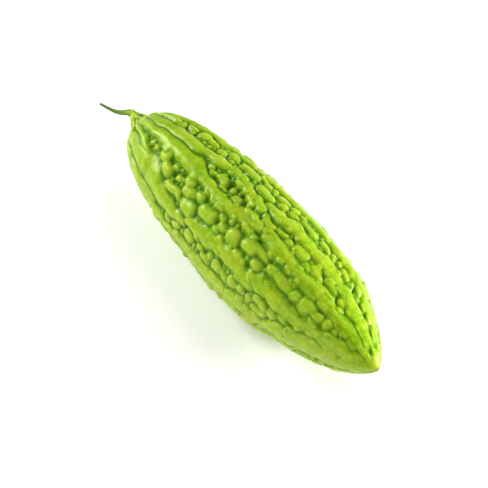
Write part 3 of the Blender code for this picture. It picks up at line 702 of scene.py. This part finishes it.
def tree_grain(tree, station, turn, size):
    """Fine unevenness of the skin, as a depth from none to the full grain depth, in nodes."""
    x = add(tree, MATH, "MULTIPLY", station, size["Grain Stretch"])
    y = add(tree, MATH, "MULTIPLY", add(tree, MATH, "SINE", turn), size["Widest Radius"])
    z = add(tree, MATH, "MULTIPLY", add(tree, MATH, "COSINE", turn), size["Widest Radius"])
    place = add(tree, "ShaderNodeCombineXYZ", X=x, Y=y, Z=z)
    scale = add(tree, MATH, "DIVIDE", 1.0, size["Grain Size"])
    noise = add(tree, NOISE, Vector=place, Scale=scale, Detail=1.0, Roughness=0.4)
    return add(tree, MATH, "MULTIPLY", noise, size["Grain Depth"])


def wrap_tree():
    """The tree that wraps the skin's chart round the fruit: girth, bend, relief, grain and flat spot."""
    tree = bpy.data.node_groups.new("wrap skin round fruit", "GeometryNodeTree")
    size = interface(tree, WRAP_SIZES)
    station, turn, depth, swell = (add(tree, READ, Name=name)
                                   for name in ("station", "turn", "depth", "swell"))
    outer = tree_girth(tree, station, size)
    radius = add(tree, MATH, "SUBTRACT", add(tree, MATH, "ADD", outer, swell), depth)
    thin = add(tree, MATH, "MULTIPLY", outer, size["Inset Share"])
    radius = add(tree, MATH, "SUBTRACT", radius, add(tree, MATH, "MINIMUM", size["Inset"], thin))
    wide = add(tree, MAP_RANGE, Value=outer, From_Min=0.0, From_Max=size["Grain Start"])
    grain = add(tree, MATH, "MULTIPLY", tree_grain(tree, station, turn, size), wide)
    radius = add(tree, MATH, "SUBTRACT", radius, grain)
    x, middle_y, middle_z = tree_middle(tree, station, size)
    aside = add(tree, MATH, "MULTIPLY", radius, add(tree, MATH, "SINE", turn))
    y = add(tree, MATH, "SUBTRACT", middle_y, aside)
    z = add(tree, MATH, "MULTIPLY_ADD", radius, add(tree, MATH, "COSINE", turn), middle_z)
    place = add(tree, "ShaderNodeCombineXYZ", X=x, Y=y, Z=add(tree, MATH, "MAXIMUM", z, 0.0))
    wrapped = add(tree, "GeometryNodeSetPosition", Geometry=size["Mesh"], Position=place)
    close_tree(tree, wrapped, size["Material"])
    return tree


def gourd_skin():
    """Gourd skin: thin, waxy, living plant skin over wet flesh. The flesh lets a little light through, the
    wax gives soft broad glints and a pale rim, and crests are yellow-green. The rounded tops of warts and
    ridges carry a painted pale highlight, and the creases between them painted shade in deep green.
    Towards the belly it carries fine dark pits that run lengthwise."""
    made = bpy.data.materials.new("waxy bitter gourd skin")
    made.use_nodes = True
    tree = made.node_tree
    shader = tree.nodes["Principled BSDF"]
    where = add(tree, "ShaderNodeTexCoord").outputs["Object"]
    rise, hollow, turn, station = (add(tree, "ShaderNodeAttribute", {"attribute_name": name}).outputs["Fac"]
                                   for name in ("rise", "crease", "turn", "station"))
    cloud = add(tree, NOISE, Vector=where, Scale=1 / (14 * MM), Detail=3.0, Roughness=0.55)
    mottle = add(tree, NOISE, Vector=where, Scale=1 / (3 * MM), Detail=3.0, Roughness=0.6)
    # Real pores are too fine to show at this distance, so they are drawn coarser.
    pores = add(tree, NOISE, Vector=where, Scale=1 / (1.1 * MM), Detail=2.0, Roughness=0.6)
    drawn_out = add(tree, "ShaderNodeMapping", Vector=where, Scale=(0.18, 1.0, 1.0))
    pits = add(tree, NOISE, Vector=drawn_out, Scale=1 / (1.3 * MM), Detail=1.0)
    belly = add(tree, MAP_RANGE, Value=add(tree, MATH, "ABSOLUTE", turn), From_Min=0.8, From_Max=1.3)
    pit = add(tree, MAP_RANGE, Value=pits, From_Min=0.6, From_Max=0.72)
    pitted = add(tree, MATH, "MULTIPLY", pit, belly)
    # Painted shade in the creases: deep green where the skin lies in a crease, weaker towards the tip.
    fading = add(tree, MAP_RANGE, Value=station, From_Min=-50 * MM, From_Max=30 * MM, To_Min=1.0, To_Max=0.6)
    deep = add(tree, MAP_RANGE, Value=hollow, From_Min=0.54, From_Max=0.84)
    painted_crease_shade = add(tree, MATH, "MULTIPLY", deep, fading)
    # Layers of colour over the valley floor's green, among them a painted highlight on the tops and painted
    # shade in the creases: what each follows, from where to where in its values it grows, how far it covers,
    # and its colour.
    layers = (
        (rise, 0.2, 1.0, 1.0, "#82AA08"),  # crests
        (cloud, 0.42, 0.68, 0.5, "#A9B41A"),  # broad yellower patches
        (mottle, 0.5, 0.7, 0.7, "#548600"),  # small dark mottles
        (mottle, 0.46, 0.3, 0.4, "#B4C03A"),  # small pale mottles
        (pores, 0.55, 0.75, 0.3, "#B0BE30"),  # pale specks
        # Painted highlight: pale colour laid on the rounded tops of warts and ridges.
        (hollow, 0.4, 0.1, 0.35, "#A9C038"),  # rounded tops of warts and ridges
        (belly, 0.0, 1.0, 0.2, "#BCCB50"),  # the flanks and the belly
        (pitted, 0.0, 1.0, 0.4, "#5E8810"),  # lengthwise pits
        # Painted shade: deep green laid along the bottoms of the creases.
        (painted_crease_shade, 0.0, 1.0, 0.85, "#366E00"),  # bottoms of the creases
        (station, 98.5 * MM, 99.6 * MM, 0.7, "#8A7B3A"),  # the dry scar at the tip
    )
    colour = linear("#5A8A00")
    for value, start, end, amount, tint in layers:
        share = add(tree, MAP_RANGE, Value=value, From_Min=start, From_Max=end, To_Max=amount)
        colour = add(tree, "ShaderNodeMix", {"data_type": "RGBA"}, in_0=share, in_6=colour,
                     in_7=linear(tint)).outputs[2]
    tree.links.new(colour, shader.inputs["Base Color"])
    surface = add(tree, MATH, "MULTIPLY_ADD", pitted, -1.2, pores)
    bump = add(tree, "ShaderNodeBump", Height=surface, Strength=0.5, Distance=0.13 * MM)
    tree.links.new(bump.outputs[0], shader.inputs["Normal"])
    shader.inputs["Roughness"].default_value = 0.36
    shader.inputs["Specular IOR Level"].default_value = 0.42
    shader.inputs["Specular Tint"].default_value = linear("#E8F39A")
    shader.inputs["IOR"].default_value = 1.42
    shader.inputs["Coat Weight"].default_value = 0.05
    shader.inputs["Coat Roughness"].default_value = 0.25
    shader.inputs["Subsurface Weight"].default_value = 0.2
    shader.inputs["Subsurface Radius"].default_value = (1.0, 1.3, 0.35)
    shader.inputs["Subsurface Scale"].default_value = 0.5 * MM
    return made


def stem_skin():
    """Gourd stem: a fibrous, ribbed stalk. It is yellow-green where it meets the fruit, dulls to olive
    along its length and dries to brown-grey at the cut, with dark lengthwise streaks."""
    made = bpy.data.materials.new("fibrous gourd stem")
    made.use_nodes = True
    tree = made.node_tree
    shader = tree.nodes["Principled BSDF"]
    where = add(tree, "ShaderNodeTexCoord").outputs["Object"]
    run = add(tree, "ShaderNodeAttribute", {"attribute_name": "run"}).outputs["Fac"]
    ramp = add(tree, "ShaderNodeValToRGB", Fac=run)
    ramp.color_ramp.elements[0].color = linear("#93BA1C")
    ramp.color_ramp.elements[1].color = linear("#666A38")
    for place, colour in ((0.28, "#6F981A"), (0.55, "#5D7C1C"), (0.9, "#5A6A2A")):
        ramp.color_ramp.elements.new(place).color = linear(colour)
    streak = add(tree, NOISE, Vector=where, Scale=1 / (1.2 * MM), Detail=3.0)
    share = add(tree, MATH, "MULTIPLY", streak, 0.35)
    blotched = add(tree, "ShaderNodeMix", {"data_type": "RGBA"}, in_0=share, in_6=ramp,
                   in_7=linear("#3E4F1C"))
    tree.links.new(blotched.outputs[2], shader.inputs["Base Color"])
    bump = add(tree, "ShaderNodeBump", Height=streak, Strength=0.4, Distance=0.15 * MM)
    tree.links.new(bump.outputs[0], shader.inputs["Normal"])
    shader.inputs["Roughness"].default_value = 0.6
    shader.inputs["Subsurface Weight"].default_value = 0.15
    shader.inputs["Subsurface Radius"].default_value = (1.0, 1.3, 0.35)
    shader.inputs["Subsurface Scale"].default_value = 0.8 * MM
    return made


def make_gourd():
    """The fruit with its neck: the skin's chart, wrapped and given its skin."""
    obj = bpy.data.objects.new("gourd_body", skin_chart())
    bpy.context.scene.collection.objects.link(obj)
    apply_tree(obj, wrap_tree(), WRAP_SIZES, gourd_skin())
    obj.data.shade_smooth()
    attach(obj, "root")
    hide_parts("gourd")
    return obj


def stem_line():
    """The middle of the stem as a smooth line of points with radii, from its seat outwards."""
    path = np.array(STEM_PATH) * MM
    steps = np.linspace(0, len(path) - 1, STEM_LINE_STEPS * len(path))
    line = np.stack([np.interp(steps, range(len(path)), path[:, k]) for k in range(4)], -1)
    for _ in range(STEM_SMOOTHINGS):
        line[1:-1] = (line[:-2] + 2 * line[1:-1] + line[2:]) / 4
    seat_x, seat_y, seat_z = middle_line(STATIONS[0])
    line[:, :3] += (seat_x - SEAT_GAP, seat_y, seat_z)
    return line


STEM_SIZES = {"Step": STEM_STEP, "Ribs": float(STEM_RIBS), "Rib Depth": STEM_RIB_DEPTH}


def stem_tree():
    """The tree that sweeps a ribbed round along the stem's line and closes its ends."""
    tree = bpy.data.node_groups.new("sweep ribbed stem", "GeometryNodeTree")
    size = interface(tree, STEM_SIZES)
    curve = add(tree, "GeometryNodeMeshToCurve", Mesh=size["Mesh"])
    even = add(tree, "GeometryNodeResampleCurve", {"mode": "LENGTH"}, Curve=curve, Length=size["Step"])
    kept = add(tree, "GeometryNodeStoreNamedAttribute", {"data_type": "FLOAT", "domain": "POINT"},
               Geometry=even, Name="run", Value=add(tree, "GeometryNodeSplineParameter"))
    sides = add(tree, "GeometryNodeCurvePrimitiveCircle", {"mode": "RADIUS"}, Resolution=STEM_SIDES,
                Radius=1.0)
    marked = add(tree, "GeometryNodeStoreNamedAttribute", {"data_type": "FLOAT", "domain": "POINT"},
                 Geometry=sides, Name="round", Value=add(tree, "GeometryNodeSplineParameter"))
    thickness, run, place = (add(tree, READ, Name=name) for name in ("thickness", "run", "round"))
    swept = add(tree, "GeometryNodeCurveToMesh", Curve=kept, Profile_Curve=marked, Scale=thickness,
                Fill_Caps=True)
    turns = add(tree, MATH, "MULTIPLY", size["Ribs"], 2 * math.pi)
    wave = add(tree, MATH, "COSINE", add(tree, MATH, "MULTIPLY", place, turns))
    groove = add(tree, MATH, "MULTIPLY", add(tree, MATH, "SUBTRACT", wave, 1.0), size["Rib Depth"])
    fading = add(tree, MATH, "SQRT", add(tree, MATH, "SUBTRACT", 1.0, run))
    depth = add(tree, MATH, "MULTIPLY", add(tree, MATH, "MULTIPLY", groove, fading), thickness)
    outward = add(tree, "GeometryNodeInputNormal")
    shift = add(tree, "ShaderNodeVectorMath", "SCALE", outward, Scale=depth)
    ribbed = add(tree, "GeometryNodeSetPosition", Geometry=swept, Offset=shift)
    close_tree(tree, ribbed, size["Material"])
    return tree


def make_stem():
    """The stem: a round with soft ribs, swept along its bent line."""
    line = stem_line()
    mesh = bpy.data.meshes.new("stem line")
    mesh.from_pydata(line[:, :3], [(i, i + 1) for i in range(len(line) - 1)], [])
    mesh.attributes.new("thickness", "FLOAT", "POINT").data.foreach_set("value", line[:, 3])
    obj = bpy.data.objects.new("gourd_stem", mesh)
    bpy.context.scene.collection.objects.link(obj)
    apply_tree(obj, stem_tree(), STEM_SIZES, stem_skin())
    obj.data.shade_smooth()
    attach(obj, "root")
    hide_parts("stem")
    return obj


def make_floor():
    """Studio floor: matt white paper, so that the gourd's soft shadow shows."""
    made = bpy.data.materials.new("matt white studio paper")
    made.use_nodes = True
    shader = made.node_tree.nodes["Principled BSDF"]
    shader.inputs["Base Color"].default_value = linear("#FAFAF8")
    shader.inputs["Roughness"].default_value = 0.9
    mesh = bpy.data.meshes.new("studio floor")
    corners = [(x * FLOOR_REACH, y * FLOOR_REACH, 0) for x, y in ((-1, -1), (1, -1), (1, 1), (-1, 1))]
    mesh.from_pydata(corners, [], [(0, 1, 2, 3)])
    mesh.materials.append(made)
    floor = bpy.data.objects.new("studio_floor", mesh)
    bpy.context.scene.collection.objects.link(floor)


def area_light(name, place, size, power):
    """A soft square lamp that looks at the gourd."""
    data = bpy.data.lights.new(name, "AREA")
    data.size = size
    data.energy = power
    lamp = bpy.data.objects.new(name, data)
    lamp.location = place
    lamp.rotation_euler = (Vector(LAMP_AIM) - Vector(place)).to_track_quat("-Z", "Y").to_euler()
    bpy.context.scene.collection.objects.link(lamp)


def make_light():
    """White all round, a window lamp high up, a small low lamp beyond the tip, and one lamp each at the
    stem's side and in front, which keep the relief's shadows soft."""
    world = bpy.data.worlds.new("white studio")
    world.use_nodes = True
    sky = world.node_tree.nodes["Background"]
    sky.inputs["Color"].default_value = linear("#FFFFFF")
    sky.inputs["Strength"].default_value = ROOM_LIGHT
    bpy.context.scene.world = world
    for lamp in LAMPS:
        area_light(*lamp)
    bpy.context.scene.view_settings.view_transform = "Standard"


def make_camera():
    """The camera at the photograph's viewing angle."""
    azimuth, elevation = math.radians(CAMERA_AZIMUTH), math.radians(CAMERA_ELEVATION)
    back = Vector((math.sin(azimuth) * math.cos(elevation), -math.cos(azimuth) * math.cos(elevation),
                   math.sin(elevation)))
    turn = (-back).to_track_quat("-Z", "Y")
    aside = turn @ Vector((CAMERA_ASIDE, CAMERA_UP, 0))
    data = bpy.data.cameras.new("camera")
    data.sensor_width = CAMERA_SENSOR
    data.lens = CAMERA_LENS
    camera = bpy.data.objects.new("camera", data)
    camera.location = Vector(CAMERA_TARGET) + aside + back * CAMERA_DISTANCE
    camera.rotation_euler = turn.to_euler()
    bpy.context.scene.collection.objects.link(camera)
    bpy.context.scene.camera = camera


make_gourd()
make_stem()
make_floor()
make_light()
make_camera()
